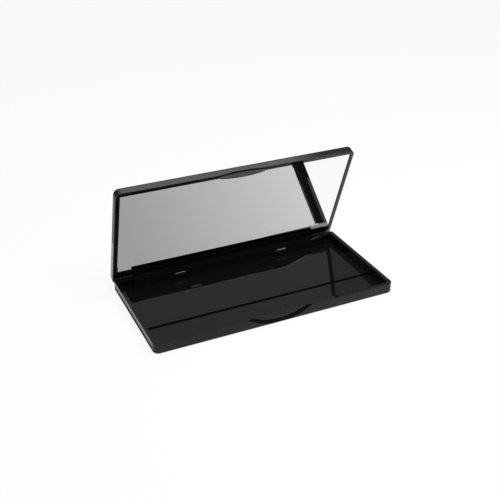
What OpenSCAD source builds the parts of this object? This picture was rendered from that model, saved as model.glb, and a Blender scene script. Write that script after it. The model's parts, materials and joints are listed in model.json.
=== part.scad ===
// Slim hinged palette case: a shallow moulded tray for refill pans, and a
// mirrored lid on two steel pins that a friction hinge holds open.
//
// X runs along the case, +Y points to the hinge and +Z is up. The origin is
// the centre of the underside, on the table. Each lid piece is drawn in the
// closed place and then swung open about the hinge axis.

/* [Case] */
// Width of the case along the hinge
case_w = 190; // [170:1:240]
// Depth of the case from the thumb side to the hinge side
case_d = 95; // [85:1:130]
// Height of the base from table to rim
base_h = 8.3; // [8:0.1:12]
// Height of the lid from its land to its outer face
lid_h = 6.5; // [5.8:0.1:10]
// Radius of the four corners in plan
corner_r = 4.5; // [2.4:0.1:8]
// Rounding of the base's lower edge
base_edge_r = 1.5; // [0.8:0.1:2.2]
// Rounding of the lid's outer edge
lid_edge_r = 1.5; // [0.8:0.1:1.8]
// Rounding of the lid's edge at the land
land_edge_r = 0.5; // [0.3:0.1:1.4]
// Gap between rim and lid when shut
lid_gap = 0.1; // [0.05:0.05:0.3]
// Angle that the lid stands open
lid_open = 70; // [0:1:90]

/* [Tray] */
// Thickness of the tray's side and front walls
wall = 3; // [2.4:0.1:4]
// Thickness of the floor in the front bay
floor_skin = 0.6; // [0.5:0.1:1.2]
// Radius of the tray's inner corners in plan
tray_corner_r = 1; // [0.5:0.1:4]
// Depth of the hinge zone behind the tray
hinge_zone = 9; // [8.8:0.1:11]
// Depth of the lower front bay, from the front wall to the step in the floor
front_bay_d = 27.8; // [15:0.1:40]
// Height of the step up to the floor that carries the pans
step_h = 1.1; // [0.7:0.1:1.6]
// Thickness of the plastic behind the step
step_t = 1.2; // [0.8:0.1:3]

/* [Underside] */
// Edge left standing at the sides of the recess in the underside
foot_margin = 7; // [5:0.5:15]
// Edge left standing between the recess and the hinge
rear_foot = 1.8; // [1.5:0.1:6]
// Corner radius of the recess
recess_r = 4; // [3:0.5:8]
// Clearance around what lies in the recess
recess_clear = 0.2; // [0.1:0.05:0.4]
// Thickness of the steel sheet that holds magnet-backed pans
plate_t = 0.3; // [0.2:0.05:0.5]
// Thickness of the adhesive between steel sheet and floor
adhesive_t = 0.1; // [0.05:0.05:0.2]
// Thickness of the plain film that closes the recess
film_t = 0.15; // [0.1:0.05:0.25]
// Distance of the film above the table
film_rise = 0.05; // [0.05:0.05:0.1]

/* [Thumb scoop] */
// Width of the scoop at the rim
scoop_w = 51; // [46:1:60]
// Plastic left under the scoop's lowest point
scoop_floor = 0.85; // [0.6:0.05:1.2]
// Thickness of the web left behind the scoop
web_t = 1; // [0.8:0.1:1.2]
// Drop of the scoop's slope from the web to the front face
scoop_slope = 2; // [1:0.1:2.4]

/* [Catch] */
// Width of the catch slot in the web
slot_w = 9.7; // [7:0.1:14]
// Height of the catch slot
slot_h = 1.6; // [1.4:0.1:2]
// Depth of the slot's middle below the rim
slot_drop = 1.8; // [1.6:0.1:2.1]
// Side clearance of the catch bead in its slot
bead_side = 0.35; // [0.2:0.05:0.6]
// Radius of the catch bead
bead_r = 0.6; // [0.5:0.05:0.7]

/* [Thumb tab] */
// Width of the tab under the lid's front edge
tab_w = 35; // [28:1:38]
// Drop of the tab below the lid's land, in the middle
tab_drop = 3.75; // [3.4:0.05:4]
// Drop of the tab at its blunt ends
tab_end_drop = 2; // [1.4:0.1:2.2]
// Thickness of the tab
tab_t = 0.8; // [0.6:0.05:0.9]
// Setback of the tab's face behind the lid's front face
tab_setback = 0.9; // [0.8:0.05:1]
// Rise of the shallow arch above the tab
arch_rise = 1.3; // [0.8:0.1:2]
// Pitch of the grip ridges
ridge_pitch = 0.9; // [0.7:0.05:1.4]
// Height of a grip ridge
ridge_r = 0.2; // [0.15:0.01:0.3]
// Bare margin around the grip ridges
ridge_margin = 1; // [0.4:0.1:1.5]

/* [Hinge] */
// Distance of the hinge axis from the rear face
axis_back = 3.3; // [3.2:0.05:3.6]
// Depth of the hinge axis below the rim
axis_drop = 4.85; // [4.6:0.05:5]
// Radius of the hinge barrel
barrel_r = 3.1; // [2.8:0.05:3.2]
// Diameter of a hinge pin
pin_d = 2; // [1.6:0.1:2.6]
// Radial clearance of a pin in the barrel
pin_clear = 0.05; // [0.03:0.01:0.1]
// Length of pin inside the barrel
pin_reach = 7.8; // [5:0.1:12]
// Distance of a hinge bracket from the end of the case
bracket_end = 16.5; // [14.5:0.5:24]
// Thickness of a bracket's pin web
bracket_t = 2.2; // [1.8:0.1:3]
// Thickness of the bridge at the top of a bracket
bridge_t = 0.9; // [0.7:0.1:1.2]
// Setback of the bridge behind the front of the ledge
bridge_setback = 2.2; // [0.5:0.1:3]
// End gap between barrel and bracket
barrel_end_gap = 0.25; // [0.15:0.05:0.5]
// Thickness of the ledge's wall in front of the hinge
ledge_t = 1.9; // [1.2:0.1:2]
// Thickness of the ledge's top, which reaches over the barrel
ledge_top_t = 1.1; // [0.8:0.1:1.3]
// Gap between the ledge's top and the barrel's flat when shut
ledge_gap = 0.2; // [0.1:0.05:0.4]
// Distance of the barrel's flat front from the hinge axis
flat_front = 1.7; // [1.5:0.05:1.8]
// Thickness of the neck that carries the barrel
neck_t = 2.9; // [2.2:0.1:3.3]
// Height of the solid foot below a bracket's pocket
pocket_sill = 3; // [2.8:0.1:3.6]
// Radius that clears the lid behind the hinge axis
swing_r = 4; // [3.6:0.1:4.2]

/* [Insert nubs] */
// Distance of a nub from the middle of the case
nub_x = 43.6; // [30:0.1:60]
// Length of a nub
nub_l = 10.5; // [6:0.1:14]
// Radius of a nub
nub_r = 1.5; // [1:0.1:1.6]
// Depth of a nub's middle below the rim
nub_drop = 2.9; // [2.6:0.1:3]
// Distance of a nub's middle behind the ledge's face
nub_sink = 0.5; // [0.3:0.1:0.7]

/* [Mirror] */
// Width of the lid's land at the front and the sides
land = 3.1; // [1.8:0.1:4]
// Width of the land along the hinge
rear_land = 9; // [7:0.1:14]
// Radius of the mirror pocket's corners
pocket_r = 1.2; // [0.8:0.1:5]
// Thickness of the lid's outer skin
lid_skin = 1.5; // [1:0.1:1.8]
// Depth of the mirror's face below the land
mirror_recess = 0.55; // [0.3:0.05:1]
// Clearance around the mirror
mirror_clear = 0.5; // [0.1:0.05:0.6]
// Thickness of the mirror glass
glass_t = 1.8; // [1.2:0.1:2]
// Thickness of the safety film on the mirror's back
safety_t = 0.1; // [0.05:0.05:0.2]
// Thickness of the mounting tape
tape_t = 0.2; // [0.1:0.05:0.4]
// Width of a tape strip
tape_w = 5; // [3:0.5:8]
// Width of a bearer rail
rail_w = 6; // [4:0.5:10]
// Distance of the outer rails and cross ribs from the pocket wall
rail_inset = 5; // [5:0.5:12]
// Thickness of a cross rib
rib_t = 1.2; // [0.8:0.1:2]

/* [Hidden] */
$fn = 96;
eps = 1;

// Colours of the finished pieces
black_gloss = "#161618";
black_matt = "#202022";
steel = "#9a9ca0";
silver_glass = "#c4c8cc";
tape_white = "#e4e2dc";

// Outer faces of the case
front_y = -case_d / 2;
rear_y = case_d / 2;
land_z = base_h + lid_gap;
lid_top_z = land_z + lid_h;

// Underside recess and tray
recess_h = film_rise + film_t + plate_t + adhesive_t;
floor_z = floor_skin + step_h;
tray_w = case_w - 2 * wall;
tray_front_y = front_y + wall;
tray_rear_y = rear_y - hinge_zone;
tray_d = tray_rear_y - tray_front_y;
tray_mid_y = (tray_front_y + tray_rear_y) / 2;
step_y = tray_front_y + front_bay_d;
recess_w = case_w - 2 * foot_margin;
recess_front_y = step_y + step_t;
recess_d = tray_rear_y - rear_foot - recess_front_y;
recess_mid_y = recess_front_y + recess_d / 2;

// Hinge
axis_y = rear_y - axis_back;
axis_z = base_h - axis_drop;
bracket_x = case_w / 2 - bracket_end;
pocket_x = bracket_x + bracket_t;
barrel_half = bracket_x - barrel_end_gap;
bridge_z = base_h - bridge_t;
flat_y = axis_y - flat_front;

// Scoop: a hollow turned about a level line above the middle of the front
scoop_h = base_h - scoop_floor;
scoop_r = (pow(scoop_w / 2, 2) + pow(scoop_h, 2)) / (2 * scoop_h);
scoop_z = scoop_floor + scoop_r;
scoop_depth = wall - web_t;

// Thumb tab, as two arcs through its blunt ends
tab_face_y = front_y + tab_setback;
tab_back_y = tab_face_y + tab_t;
tab_sag = tab_drop - tab_end_drop;
tab_arc_r = (pow(tab_w / 2, 2) + pow(tab_sag, 2)) / (2 * tab_sag);
arch_arc_r = (pow(tab_w / 2, 2) + pow(arch_rise, 2)) / (2 * arch_rise);
bead_w = slot_w - 2 * bead_side;

// Mirror pocket and the stack inside it, measured up from the land
pocket_w = case_w - 2 * land;
pocket_front_y = front_y + land;
pocket_rear_y = rear_y - rear_land;
pocket_d = pocket_rear_y - pocket_front_y;
pocket_mid_y = (pocket_front_y + pocket_rear_y) / 2;
glass_z = land_z + mirror_recess;
safety_z = glass_z + glass_t;
tape_z = safety_z + safety_t;
bearer_z = tape_z + tape_t;
bearer_h = lid_top_z - lid_skin - bearer_z;
rail_y = [pocket_front_y + rail_inset + rail_w / 2, pocket_mid_y,
          pocket_rear_y - rail_inset - rail_w / 2];
rail_l = pocket_w - 2 * rail_inset;
rib_count = 6;

// Half section of a slab near its side, with the low and the high edge rounded
module edge_section(r, h, low, high) {
    intersection() {
        square([r, h]);
        union() {
            translate([0, low]) square([r, h - low - high]);
            for (edge = [[low, low], [high, h - high]])
                if (edge[0] > 0) translate([0, edge[1]]) {
                    square([2 * (r - edge[0]), 2 * edge[0]], center = true);
                    translate([r - edge[0], 0]) circle(r = edge[0]);
                }
        }
    }
}

// Slab with round corners in plan, and its low and high edges rounded
module slab(w, d, h, r, low = 0, high = 0) {
    translate([-w / 2 + r, -d / 2 + r, 0]) cube([w - 2 * r, d - 2 * r, h]);
    for (side = [0, 1]) {
        rotate([0, 0, 180 * side]) {
            translate([w / 2 - r, 0, 0]) rotate([90, 0, 0])
                linear_extrude(d - 2 * r, center = true) edge_section(r, h, low, high);
            translate([0, d / 2 - r, 0]) rotate([90, 0, 90])
                linear_extrude(w - 2 * r, center = true) edge_section(r, h, low, high);
            translate([w / 2 - r, d / 2 - r, 0])
                rotate_extrude(angle = 90) edge_section(r, h, low, high);
            translate([-w / 2 + r, d / 2 - r, 0]) rotate([0, 0, 90])
                rotate_extrude(angle = 90) edge_section(r, h, low, high);
        }
    }
}

// Box from its lowest corner to its highest
module span(low, high) {
    translate(low) cube(high - low);
}

// Cylinder along X, centred on x = 0
module rod(r, l) {
    rotate([0, 90, 0]) cylinder(r = r, h = l, center = true);
}

// Swings a lid piece from the closed place to where the lid stands
module swung() {
    translate([0, axis_y, axis_z]) rotate([-lid_open, 0, 0])
        translate([0, -axis_y, -axis_z]) children();
}

// Outline of the base, before it is hollowed
module base_blank() {
    slab(case_w, case_d, base_h, corner_r, base_edge_r);
}

// What the swinging lid clears above and behind the hinge axis
module swing_clearance() {
    difference() {
        span([-case_w, axis_y, base_h - swing_r], [case_w, rear_y + eps, base_h + eps]);
        translate([0, axis_y, base_h - swing_r]) rod(swing_r, 2 * case_w + eps);
    }
}

// Hollow of the thumb scoop, which slopes out from the web to the front face
module scoop_hollow() {
    translate([0, front_y + scoop_depth, scoop_z]) rotate([90, 0, 0])
        rotate_extrude() polygon([[0, 0], [scoop_r - scoop_slope, 0], [scoop_r, scoop_depth],
                                  [scoop_r, scoop_depth + eps], [0, scoop_depth + eps]]);
}

// Hollow of the tray above a floor height
module tray_hollow(floor_height) {
    translate([0, tray_mid_y, floor_height]) slab(tray_w, tray_d, base_h, tray_corner_r);
}

// Tray moulding with a stepped floor, scoop, catch slot, corner pockets and underside recess
module base_shell() {
    color(black_gloss) difference() {
        base_blank();
        tray_hollow(floor_z);
        intersection() {
            tray_hollow(floor_skin);
            span([-case_w, front_y, 0], [case_w, step_y, base_h]);
        }
        span([-pocket_x, tray_rear_y, -eps], [pocket_x, rear_y + eps, base_h + eps]);
        for (side = [-1, 1])
            translate([side * (pocket_x + case_w / 2 - wall) / 2, 0, 0])
                span([-(case_w / 2 - wall - pocket_x) / 2, tray_rear_y - tray_corner_r - eps, pocket_sill],
                     [(case_w / 2 - wall - pocket_x) / 2, rear_y - wall, base_h + eps]);
        swing_clearance();
        scoop_hollow();
        translate([0, front_y + wall - web_t / 2, base_h - slot_drop])
            cube([slot_w, web_t + eps, slot_h], center = true);
        translate([0, recess_mid_y, -eps])
            slab(recess_w, recess_d, recess_h + eps, recess_r);
    }
}

// Low wall between tray and hinge, with a top that reaches over the barrel
module hinge_ledge() {
    color(black_gloss) {
        span([-bracket_x, tray_rear_y, 0], [bracket_x, tray_rear_y + ledge_t, base_h]);
        span([-bracket_x, tray_rear_y, base_h - ledge_top_t],
             [bracket_x, flat_y - ledge_gap, base_h]);
    }
}

// End of the hinge: a web that holds the pin, and a bridge over the corner pocket
module hinge_bracket(side) {
    color(black_gloss) difference() {
        intersection() {
            base_blank();
            mirror([side < 0 ? 1 : 0, 0, 0]) union() {
                span([bracket_x, tray_rear_y, -eps], [pocket_x, rear_y + eps, base_h + eps]);
                span([pocket_x - eps, tray_rear_y + bridge_setback, bridge_z],
                     [case_w / 2 - wall, rear_y - wall, base_h + eps]);
            }
        }
        swing_clearance();
        translate([side * (bracket_x + bracket_t / 2), axis_y, axis_z])
            rod(pin_d / 2, bracket_t + 2 * eps);
    }
}

// Steel pin, fixed in the bracket and running in the barrel
module hinge_pin(side) {
    color(steel)
        translate([side * (pocket_x - pin_reach - barrel_end_gap + bracket_x) / 2, axis_y, axis_z])
            rod(pin_d / 2, pin_reach + barrel_end_gap + bracket_t);
}

// Low bump on the ledge that a drop-in pan insert would snap under
module insert_nub(side) {
    straight = nub_l - 2 * nub_r;
    color(black_gloss) intersection() {
        translate([side * nub_x, tray_rear_y + nub_sink, base_h - nub_drop]) {
            rod(nub_r, straight);
            for (end = [-1, 1]) translate([end * straight / 2, 0, 0]) sphere(r = nub_r);
        }
        translate([side * nub_x, tray_rear_y - nub_r, base_h - nub_drop])
            cube([2 * nub_l, 2 * nub_r, 4 * nub_r], center = true);
    }
}

// Sheet that lies in the underside recess between two heights
module recess_sheet(low, thick) {
    translate([0, recess_mid_y, low])
        slab(recess_w - 2 * recess_clear, recess_d - 2 * recess_clear, thick,
             recess_r - recess_clear);
}

module plate_adhesive() {
    color(tape_white) recess_sheet(recess_h - adhesive_t, adhesive_t);
}

module floor_plate() {
    color(steel) recess_sheet(film_rise + film_t, plate_t);
}

module base_film() {
    color(black_matt) recess_sheet(film_rise, film_t);
}

// Lens outline of the tab: upper arc, blunt ends and lower arc
module tab_outline(upper) {
    intersection() {
        translate([-tab_w / 2, -tab_drop]) square([tab_w, tab_drop + arch_rise]);
        translate([0, tab_arc_r - tab_drop]) circle(r = tab_arc_r);
        if (upper) {
            translate([0, arch_rise - arch_arc_r]) circle(r = arch_arc_r);
        } else {
            translate([-tab_w / 2, -tab_drop]) square([tab_w, tab_drop]);
        }
    }
}

// Stands a drawing of the front face up on the lid, from one depth to another
module on_front(near_y, far_y) {
    translate([0, far_y, land_z]) rotate([90, 0, 0]) linear_extrude(far_y - near_y) children();
}

// Lid moulding with the mirror pocket and the arched flat above the tab
module lid_shell() {
    color(black_gloss) swung() difference() {
        translate([0, 0, lid_top_z]) mirror([0, 0, 1])
            slab(case_w, case_d, lid_h, corner_r, lid_edge_r, land_edge_r);
        translate([0, pocket_mid_y, land_z - eps])
            slab(pocket_w, pocket_d, lid_h - lid_skin + eps, pocket_r);
        on_front(front_y - eps, tab_face_y) intersection() {
            translate([-tab_w / 2, -eps]) square([tab_w, arch_rise + eps]);
            translate([0, arch_rise - arch_arc_r]) circle(r = arch_arc_r);
        }
    }
}

// Rails that carry the mirror's tape, joined by cross ribs
module mirror_bearer() {
    rib_pitch = (rail_l - rib_t) / (rib_count - 1);
    rib_d = pocket_d - 2 * rail_inset;
    color(black_matt) swung() {
        for (y = rail_y)
            translate([-rail_l / 2, y - rail_w / 2, bearer_z]) cube([rail_l, rail_w, bearer_h]);
        for (i = [0 : rib_count - 1])
            translate([-rail_l / 2 + i * rib_pitch, pocket_mid_y - rib_d / 2, bearer_z])
                cube([rib_t, rib_d, bearer_h]);
    }
}

// Strip of double-sided tape on one of the rails
module mirror_tape(rail) {
    color(tape_white) swung()
        translate([-rail_l / 2, rail_y[rail] - tape_w / 2, tape_z]) cube([rail_l, tape_w, tape_t]);
}

// Sheet in the mirror pocket, a clearance smaller than the pocket all round
module mirror_sheet(low, thick) {
    swung() translate([0, pocket_mid_y, low])
        slab(pocket_w - 2 * mirror_clear, pocket_d - 2 * mirror_clear, thick,
             pocket_r - mirror_clear);
}

module safety_film() {
    color(black_matt) mirror_sheet(safety_z, safety_t);
}

module mirror_glass() {
    color(silver_glass) mirror_sheet(glass_z, glass_t);
}

// Barrel under the lid's land, with a flat front, bored at both ends for the pins
module hinge_barrel() {
    color(black_gloss) swung() difference() {
        union() {
            translate([0, axis_y, axis_z]) rod(barrel_r, 2 * barrel_half);
            span([-barrel_half, flat_y, axis_z], [barrel_half, flat_y + neck_t, land_z]);
        }
        span([-case_w, axis_y - 2 * barrel_r, axis_z - 2 * barrel_r],
             [case_w, flat_y, axis_z + 2 * barrel_r]);
        for (side = [-1, 1])
            translate([side * (bracket_x - pin_reach / 2 - barrel_end_gap), axis_y, axis_z])
                rod(pin_d / 2 + pin_clear, pin_reach + 2 * barrel_end_gap);
    }
}

// Curved tab below the land that the thumb lifts
module thumb_tab() {
    color(black_gloss) swung() on_front(tab_face_y, tab_back_y) tab_outline(false);
}

// Half width of an arc's chord at a distance from the arc's middle
function chord_half(r, away) = sqrt(max(0, pow(r, 2) - pow(r - away, 2)));

// Half length of a ridge at a height above the land, clear of both arcs
function ridge_half(z) = min(tab_w / 2,
                             chord_half(tab_arc_r, z - ridge_r + tab_drop),
                             chord_half(arch_arc_r, arch_rise - z - ridge_r)) - ridge_margin;

// Level half-round ridges across the tab and the flat above it
module grip_ridges() {
    first = -tab_drop + ridge_margin;
    last = arch_rise - ridge_margin;
    color(black_gloss) swung()
        for (z = [first : ridge_pitch : last])
            translate([0, tab_face_y, land_z + z]) intersection() {
                rod(ridge_r, 2 * ridge_half(z));
                translate([0, -ridge_r, 0]) cube([tab_w, 2 * ridge_r, 4 * ridge_r], center = true);
            }
}

// Bead on the back of the tab that clicks into the slot
module latch_bead() {
    color(black_gloss) swung()
        translate([0, tab_back_y, base_h - slot_drop]) intersection() {
            rod(bead_r, bead_w);
            translate([0, bead_r, 0]) cube([tab_w, 2 * bead_r, 4 * bead_r], center = true);
        }
}

base_shell();
hinge_ledge();
hinge_bracket(-1);  // hinge_bracket_left
hinge_bracket(1);  // hinge_bracket_right
hinge_pin(-1);  // hinge_pin_left
hinge_pin(1);  // hinge_pin_right
insert_nub(-1);  // insert_nub_left
insert_nub(1);  // insert_nub_right
plate_adhesive();
floor_plate();
base_film();
lid_shell();
mirror_bearer();
mirror_tape(0);  // mirror_tape_front
mirror_tape(1);  // mirror_tape_middle
mirror_tape(2);  // mirror_tape_rear
safety_film();
mirror_glass();
hinge_barrel();
thumb_tab();
grip_ridges();
latch_bead();
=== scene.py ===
# %% [markdown]
# # A slim mirrored palette case
#
# The real object is a hinged case in black, highly polished plastic: a tray for
# refill pans below, a mirror in the lid above. Nearly everything that the eye
# sees on such a thing is a reflection, so this lesson spends its effort on three
# things: edges that are rounded as a mould rounds them, finishes whose gloss is
# never perfectly even, and a small studio for the gloss to reflect.
#
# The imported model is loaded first. Its pieces are exact and stay where they
# are; this script only dresses them.

# %% Load the frame
import json
import math

import bpy
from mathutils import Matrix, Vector

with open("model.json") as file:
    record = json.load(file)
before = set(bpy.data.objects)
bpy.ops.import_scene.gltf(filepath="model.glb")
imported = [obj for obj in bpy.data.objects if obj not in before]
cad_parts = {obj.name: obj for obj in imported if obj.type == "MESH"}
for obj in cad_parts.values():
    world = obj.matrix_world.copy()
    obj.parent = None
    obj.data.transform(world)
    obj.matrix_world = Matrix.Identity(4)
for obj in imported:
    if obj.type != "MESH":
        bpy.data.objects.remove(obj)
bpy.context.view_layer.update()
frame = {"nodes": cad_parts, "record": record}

# %% [markdown]
# ## Shader maths as plain expressions
#
# A material is a small graph. Wiring it node by node hides the idea, so one class
# wraps a socket and lets the graph be written as arithmetic: `1 - mask * 0.4` adds
# the Math nodes by itself. Numbers that are the same all over are worked out in
# Python and set on the shader's own socket.

# %% A socket that can be used in an expression
class Wire:
    """An output socket of one material, with arithmetic."""

    def __init__(self, tree, socket):
        self.tree = tree
        self.socket = socket

    def math(self, operation, *values):
        return node(self.tree, "Math", {"operation": operation}, *values)

    def __add__(self, other):
        return self.math("ADD", self, other)

    def __sub__(self, other):
        return self.math("SUBTRACT", self, other)

    def __mul__(self, other):
        return self.math("MULTIPLY", self, other)

    def __rsub__(self, other):
        return self.math("SUBTRACT", other, self)

    __radd__ = __add__
    __rmul__ = __mul__


def node(tree, kind, settings=None, *values, **named):
    """Adds a shader node: its settings first, then its sockets by order or by name."""
    made = tree.nodes.new("ShaderNode" + kind)
    for key, value in (settings or {}).items():
        setattr(made, key, value)
    sockets = list(enumerate(values)) + [(key.replace("_", " "), v) for key, v in named.items()]
    for key, value in sockets:
        if isinstance(value, Wire):
            tree.links.new(value.socket, made.inputs[key])
        else:
            made.inputs[key].default_value = value
    return Wire(tree, made.outputs[0])


def output_of(tree, kind, name):
    """Adds a node that has no inputs to set, and takes its output of that name."""
    return Wire(tree, node(tree, kind).socket.node.outputs[name])


def new_material(name):
    """An empty material and its tree."""
    material = bpy.data.materials.new(name)
    material.use_nodes = True
    material.node_tree.nodes.clear()
    return material, material.node_tree


def show(tree, shader, kind="Material"):
    """Links a shader to the tree's output."""
    output = tree.nodes.new("ShaderNodeOutput" + kind)
    tree.links.new(shader.socket, output.inputs["Surface"])

print("graph helpers ready")

# %% [markdown]
# ## What polished plastic is made of
#
# The case is moulded in a polished steel tool, so its skin is nearly a mirror. What
# makes it plastic and not glass is how that skin departs from a mirror, in four
# steps of size: slow waves of a few centimetres where the plastic shrank in
# cooling, soft smears where hands and a cloth have been, hairlines much thinner
# than a millimetre, and single specks of dust. The first three change the
# roughness, or tilt the surface, by very little, and leave the colour almost black.
# Only a speck is dull and paler, and specks are few.

# %% Patterns that the finishes share
def place_in(tree, stretch=(1, 1, 1), turn=0):
    """The piece's own coordinates in metres, turned about Z and stretched per axis."""
    where = output_of(tree, "TexCoord", "Object")
    return node(tree, "Mapping", None, Vector=where, Rotation=(0, 0, math.radians(turn)),
                Scale=stretch)


def noise(tree, place, per_metre, detail):
    """Cloudy noise with so many clouds to the metre, and finer ones inside them."""
    return node(tree, "TexNoise", None, Vector=place, Scale=per_metre, Detail=detail)


def mask(tree, value, start, end):
    """0 at start, 1 at end, and a soft step between them."""
    return node(tree, "MapRange", {"interpolation_type": "SMOOTHSTEP"}, value, start, end)


def streaks(tree, axis_stretch, per_metre, turn, start=0.52, end=0.80):
    """Noise drawn out along one axis, as a cloth or a roller leaves it."""
    return mask(tree, noise(tree, place_in(tree, axis_stretch, turn), per_metre, 3.0), start, end)


def specks(tree, per_metre=420, size=0.12, share=0.03):
    """Specks of dust: small discs in a few of the cells of a grid."""
    cells = node(tree, "TexVoronoi", None, Vector=place_in(tree), Scale=per_metre).socket.node
    chance = node(tree, "SeparateColor", None, Wire(tree, cells.outputs["Color"]))
    distance = Wire(tree, cells.outputs["Distance"])
    disc = mask(tree, distance, size, size * 0.6)
    return disc * mask(tree, chance, 1 - share, 1 - share * 0.9)


def mixed(tree, factor, low, high):
    """A colour between two others."""
    made = tree.nodes.new("ShaderNodeMix")
    made.data_type = "RGBA"
    tree.links.new(factor.socket, made.inputs["Factor"])
    made.inputs["A"].default_value = (*low, 1)
    made.inputs["B"].default_value = (*high, 1)
    return Wire(tree, made.outputs["Result"])


def bump(tree, height, depth):
    """A normal tilted by a height map; depth is the height of 1, in metres."""
    return node(tree, "Bump", None, Height=height, Distance=depth)

print("patterns ready")

# %% [markdown]
# ## The black mouldings
#
# All the mouldings are the same black plastic, in different states. The tray and
# the lid carry the full polish. The hinge and the tab are touched and turned, so
# they are a little duller. A wavy skin bends straight reflections, and strong waves
# would make the case look cheap, so they are a hundredth of a millimetre high. One
# function makes every state, and a table says how the states differ.

# %% Polished black plastic
BLACK = (0.0052, 0.0052, 0.0056)
DUST = (0.06, 0.06, 0.057)
CLOUDS, WAVES, WIPES, HAIRLINES = 28, 45, 160, 900    # how many to the metre
WAVE_HEIGHT = 0.00001                                 # metres
CROSSING = 31                                         # degrees from wipes to hairlines
HAIRLINE_CUT = 0.03                                   # its depth, as a share of a wave
HAIRLINE_DULL, DUST_DULL = 0.05, 0.4                  # what they add to the roughness


def polished_black(name, roughness, smear, turn):
    """High-gloss black: how rough, how smeared, and the angle at which it was wiped."""
    material, tree = new_material(name)
    clouds = mask(tree, noise(tree, place_in(tree), CLOUDS, 4.0), 0.50, 0.75)
    wipes = streaks(tree, (0.12, 1, 1), WIPES, turn)
    lines = streaks(tree, (0.015, 1, 1), HAIRLINES, turn + CROSSING, start=0.70, end=0.76)
    dust = specks(tree)
    smears = clouds * smear + wipes * (smear * 0.5)
    gloss = smears + lines * HAIRLINE_DULL + dust * DUST_DULL + roughness
    height = noise(tree, place_in(tree), WAVES, 0.0) - lines * HAIRLINE_CUT
    show(tree, node(tree, "BsdfPrincipled", None, Base_Color=mixed(tree, dust, BLACK, DUST),
                    Roughness=gloss, IOR=1.5, Normal=bump(tree, height, WAVE_HEIGHT)))
    return material


blacks = {    # roughness, smear, angle
    "base_gloss": (0.010, 0.025, 18),
    "lid_gloss": (0.015, 0.035, -24),
    "hinge_gloss": (0.04, 0.06, 90),
    "bracket_gloss": (0.02, 0.03, 18),
    "nub_gloss": (0.04, 0.04, 18),
    "tab_gloss": (0.05, 0.08, 75),
    "ridge_gloss": (0.10, 0.08, 75)}
finishes = {name: polished_black(name, *values) for name, values in blacks.items()}
print("black finishes:", len(finishes))

# %% [markdown]
# ## The matt and hidden pieces
#
# The film under the tray and the bearer behind the mirror are left as they come:
# fine grain, no polish. The tape is a paper-like foam with short fibres in it, and
# the safety film is smooth with faint drawn lines. They show only when the case is
# taken apart or seen from below, but a reusable part is finished there too.

# %% Matt plastic, film and tape
def grained(name, low, high, roughness, per_metre, depth, stretch):
    """A dull sheet: two close tones in a fine grain that also roughens it."""
    material, tree = new_material(name)
    grain = noise(tree, place_in(tree, stretch), per_metre, 3.0)
    patches = mask(tree, noise(tree, place_in(tree), 20, 3.0), 0.35, 0.75)
    tone = mixed(tree, grain * 0.7 + patches * 0.3, low, high)
    gloss = patches * 0.12 + grain * 0.1 + roughness
    show(tree, node(tree, "BsdfPrincipled", None, Base_Color=tone, Roughness=gloss, IOR=1.5,
                    Normal=bump(tree, grain, depth)))
    return material


dull = {    # darker tone, lighter tone, roughness, grains per metre, their height, stretch
    "bearer_black": ((0.012,) * 3, (0.024,) * 3, 0.40, 900, 0.00002, (1, 1, 1)),
    "base_film": ((0.014,) * 3, (0.026,) * 3, 0.45, 2200, 0.00002, (1, 1, 1)),
    "safety_film": ((0.26, 0.27, 0.29), (0.34, 0.35, 0.37), 0.30, 700, 0.000005, (0.05, 1, 1)),
    "adhesive": ((0.62, 0.61, 0.57), (0.78, 0.77, 0.73), 0.70, 1100, 0.00004, (0.4, 1, 1))}
for name, values in dull.items():
    finishes[name] = grained(name, *values)
print("dull finishes:", len(dull))

# %% [markdown]
# ## Steel and mirror
#
# The hinge pins are drawn wire, with lines along their length, and the sheet under
# the floor is rolled, with longer and softer ones. The mirror is silvered glass
# behind the lid's edge: all it shows of itself is a trace of haze where a cloth
# has been, so its roughness is nearly nothing and changes slowly.

# %% Steel and silvered glass
LINE_DULL, STAIN_DULL = 0.15, 0.1    # what lines and stains add to the roughness
STAIN_TONE = 0.72                    # a stain's tone, as a share of the clean one
LINE_DEPTH = 0.000004                # metres


def drawn_steel(name, tone, roughness, per_metre, stretch):
    """Bare steel with lines along the way it was drawn or rolled."""
    material, tree = new_material(name)
    lines = noise(tree, place_in(tree, stretch), per_metre, 3.0)
    stain = mask(tree, noise(tree, place_in(tree), 60, 4.0), 0.55, 0.80)
    darker = tuple(value * STAIN_TONE for value in tone)
    show(tree, node(tree, "BsdfPrincipled", None, Base_Color=mixed(tree, stain, tone, darker),
                    Roughness=lines * LINE_DULL + stain * STAIN_DULL + roughness, Metallic=1.0,
                    Normal=bump(tree, lines, LINE_DEPTH)))
    return material


def silvered_glass(name, tone):
    """A mirror with a trace of haze and a little dust."""
    material, tree = new_material(name)
    haze = streaks(tree, (0.2, 1, 1), 60, turn=35, start=0.55, end=0.90)
    dust = specks(tree, per_metre=300, size=0.10, share=0.012)
    show(tree, node(tree, "BsdfPrincipled", None, Base_Color=mixed(tree, dust, tone, (0.6,) * 3),
                    Roughness=haze * 0.006 + dust * 0.3, Metallic=1.0))
    return material


finishes["pin_steel"] = drawn_steel("pin_steel", (0.56, 0.56, 0.58), 0.16, 1500, (0.02, 1, 1))
finishes["plate_steel"] = drawn_steel("plate_steel", (0.54, 0.54, 0.56), 0.24, 500, (0.03, 1, 1))
finishes["mirror"] = silvered_glass("mirror", (0.90, 0.90, 0.90))

slot_of = {part["node"]: part["material_slot"] for part in frame["record"]["subparts"]}
for name, piece in frame["nodes"].items():
    piece.data.materials.clear()
    piece.data.materials.append(finishes[slot_of[name]])
print("dressed:", len(slot_of), "nodes in", len(finishes), "finishes")

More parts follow.
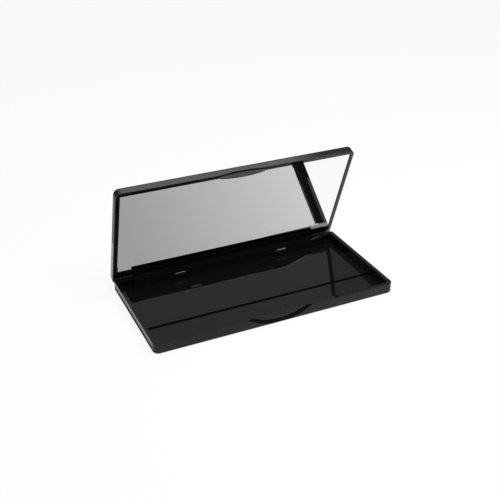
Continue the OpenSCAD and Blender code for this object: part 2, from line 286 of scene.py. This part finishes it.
# %% [markdown]
# ## The studio
#
# Black gloss has almost no tone of its own, so what is set up here is what it
# reflects. In a real studio these are sheets of card, some lit and some black, put
# just outside the view until every face of the object shows an even tone. Here
# each is a flat card with its own plain glow, which only reflections see. A soft
# box that fades along its length gives a face the slow gradient that makes a polish
# look deep. Two cards on the table are painted shadow: a dim band just in front of
# the case and a dark strip at its left foot stand for the paper's shade next to the
# case, and the strip gives the left wall's lower edge its dark line.

# %% Cards and soft boxes
def card(name, corners, material):
    """A flat card with these corners in order, each (x, y, z). It is no part of the case."""
    mesh = bpy.data.meshes.new(name)
    mesh.from_pydata(corners, [], [tuple(range(len(corners)))])
    mesh.materials.append(material)
    made = bpy.data.objects.new(name, mesh)
    bpy.context.scene.collection.objects.link(made)
    return made


def level(x0, y0, x1, y1, z):
    """The corners of a level rectangle."""
    return [(x0, y0, z), (x1, y0, z), (x1, y1, z), (x0, y1, z)]


def upright(x0, x1, y, z0, z1):
    """The corners of an upright rectangle that runs along X."""
    return [(x0, y, z0), (x1, y, z0), (x1, y, z1), (x0, y, z1)]


def glow(name, first, last=None, span=(0, 1)):
    """Plain light: even, or going from a first strength to a last along X."""
    material, tree = new_material(name)
    strength = first
    if last is not None:
        along = node(tree, "SeparateXYZ", None, output_of(tree, "NewGeometry", "Position"))
        strength = node(tree, "MapRange", None, along, *span, first, last)
    show(tree, node(tree, "Emission", None, (1, 1, 1, 1), strength))
    return material


BOX_Z = 0.70                                                  # height of the soft boxes
KEY_FRONT, KEY_REAR = (-0.334, -0.3385), (-0.193, -0.2000)    # y at its left and right ends
studio = {
    # soft boxes overhead: corners, then the glow's strength or strengths
    "key_box": ([(0.1147, KEY_FRONT[0], BOX_Z), (0.456, KEY_FRONT[1], BOX_Z),
                 (0.456, KEY_REAR[1], BOX_Z), (0.0705, KEY_REAR[0], BOX_Z)],
                (9.0, 15.0, (0.11, 0.45))),
    "key_edge": ([(0.060, KEY_REAR[0], BOX_Z), (0.480, KEY_REAR[1], BOX_Z),
                  (0.480, -0.175, BOX_Z), (0.060, -0.175, BOX_Z)], (3.0, 6.2, (0.09, 0.45))),
    "rear_box": (level(0.020, 0.150, 0.600, 0.320, BOX_Z), (1.85, 0.42, (0.355, 0.42))),
    "rear_shade": (level(0.020, 0.320, 0.600, 0.800, BOX_Z), (0.25,)),
    "pocket_box": (level(-0.264, -0.217, -0.245, -0.196, BOX_Z), (32.0,)),
    # cards that lie on the table in front of the case
    # painted shadow: a dim band that stands for the paper's shade just in front of the case, dimmer
    # towards the left
    "near_card": (level(-0.500, -0.066, 0.110, -0.0478, 0.0004), (0.52, 0.68, (-0.05, 0.10))),
    "front_card": (level(-1.500, -1.900, 1.900, -0.065, 0.0005), (0.30,)),
    "corner_card": (level(0.110, -0.066, 0.600, -0.025, 0.0006), (0.06,)),
    # cards that lie on both sides of it
    "left_card": (level(-0.600, -0.0478, -0.115, 0.600, 0.0004), (0.50,)),
    "left_strip": (level(-0.115, -0.0478, -0.0968, 0.060, 0.0005), (0.75,)),
    # painted shadow: a dark strip that stands for the paper's shade at the foot of the left wall,
    # and gives that wall its dark lower edge
    "left_line": (level(-0.0968, -0.0478, -0.0951, 0.060, 0.0005), (0.12,)),
    "right_card": (level(0.0951, -0.0478, 0.400, 0.300, 0.0005), (1.05,)),
    # dark cloth far in front and behind
    "front_cloth": (upright(-2.0, 6.5, -1.9, 0.45, 4.5), (0.02,)),
    "rear_cloth": (upright(-2.0, 3.0, 1.5, 0.0, 3.0), (0.20,))}
for name, (corners, light) in studio.items():
    made = card(name, corners, glow(name, *light))
    made.visible_camera = made.visible_diffuse = made.visible_shadow = False
print("cards:", len(studio))

# %% [markdown]
# ## Table and room
#
# The case stands on white paper. The paper is a plain pale floor that takes the
# case's shadow; for rays that see it as a background, straight or mirrored, most
# of it glows at exactly white, and a small share of the shaded paper stays in the
# mix. The room behind it does the same. A matt surface is lit by the room's even
# fill and by one large soft lamp overhead, at a level at which a colour comes out
# about as it is written.

# %% Table, room and lamp
TABLE_TONE = 0.92
TABLE_Z = -0.0001    # a hair below the feet, so that the two faces never coincide
SHADOW_SHARE = 0.10  # of the shaded paper, in what a background ray sees
ROOM_FILL = 0.3
LAMP_POWER = 7.0     # watts
LAMP_SIZE = 0.6
LAMP_AT, LAMP_AIM = Vector((0.25, -0.25, 0.75)), Vector((0, 0, 0.05))


def background_rays(tree):
    """1 for a ray that looks at the background: straight, mirrored or through glass."""
    kinds = [output_of(tree, "LightPath", f"Is {kind} Ray")
             for kind in ("Camera", "Glossy", "Transmission")]
    return node(tree, "Math", {"operation": "MINIMUM"}, kinds[0] + kinds[1] + kinds[2], 1)


paper, tree = new_material("table_paper")
shaded = node(tree, "BsdfDiffuse", None, (TABLE_TONE,) * 3 + (1,))
white = node(tree, "Emission", None, (1, 1, 1, 1), 1.0)
show(tree, node(tree, "MixShader", None, background_rays(tree) * (1 - SHADOW_SHARE),
                shaded, white))
card("table", level(-2, -2, 2, 2, TABLE_Z), paper)

world = bpy.data.worlds.new("room")
bpy.context.scene.world = world
world.use_nodes = True
world.node_tree.nodes.clear()
show(world.node_tree, node(world.node_tree, "Background", None, (1, 1, 1, 1),
                           background_rays(world.node_tree) * (1 - ROOM_FILL) + ROOM_FILL), "World")

soft = bpy.data.lights.new("soft_lamp", "AREA")
soft.size = LAMP_SIZE
soft.energy = LAMP_POWER
lamp = bpy.data.objects.new("soft_lamp", soft)
lamp.location = LAMP_AT
lamp.rotation_euler = (LAMP_AT - LAMP_AIM).to_track_quat("Z", "Y").to_euler()
lamp.visible_glossy = False
bpy.context.scene.collection.objects.link(lamp)
print("lamp:", LAMP_POWER, "W, room fill:", ROOM_FILL)

# %% [markdown]
# ## The camera
#
# The view is from the front left, 29 degrees up and about 0.6 m away: near enough
# that the edges run together visibly. The camera is held level, so it is placed by
# its two angles and a distance from the point that it looks at. Its focal length is
# given in picture widths, which holds for a sensor of any size.

# %% Camera
PICTURE = 500          # pixels across
HALF_PIXEL = 0.5 / PICTURE
FOCAL = 816 / PICTURE
AZIMUTH, ELEVATION, DISTANCE = math.radians(-25.02), math.radians(29.16), 0.603
AIM = Vector((-0.0017, 0, 0.0351))
back = Vector((math.sin(AZIMUTH) * math.cos(ELEVATION), -math.cos(AZIMUTH) * math.cos(ELEVATION),
               math.sin(ELEVATION)))
lens = bpy.data.cameras.new("camera")
lens.sensor_width = 36
lens.lens = lens.sensor_width * FOCAL
lens.shift_x = -HALF_PIXEL
lens.shift_y = HALF_PIXEL
camera = bpy.data.objects.new("camera", lens)
camera.rotation_mode = "QUATERNION"
camera.rotation_quaternion = back.to_track_quat("Z", "Y")
camera.location = AIM + back * DISTANCE
bpy.context.scene.collection.objects.link(camera)
bpy.context.scene.camera = camera
bpy.context.scene.view_settings.view_transform = "Standard"
print("camera at", [round(v, 3) for v in camera.location], "lens", round(lens.lens, 1), "mm")
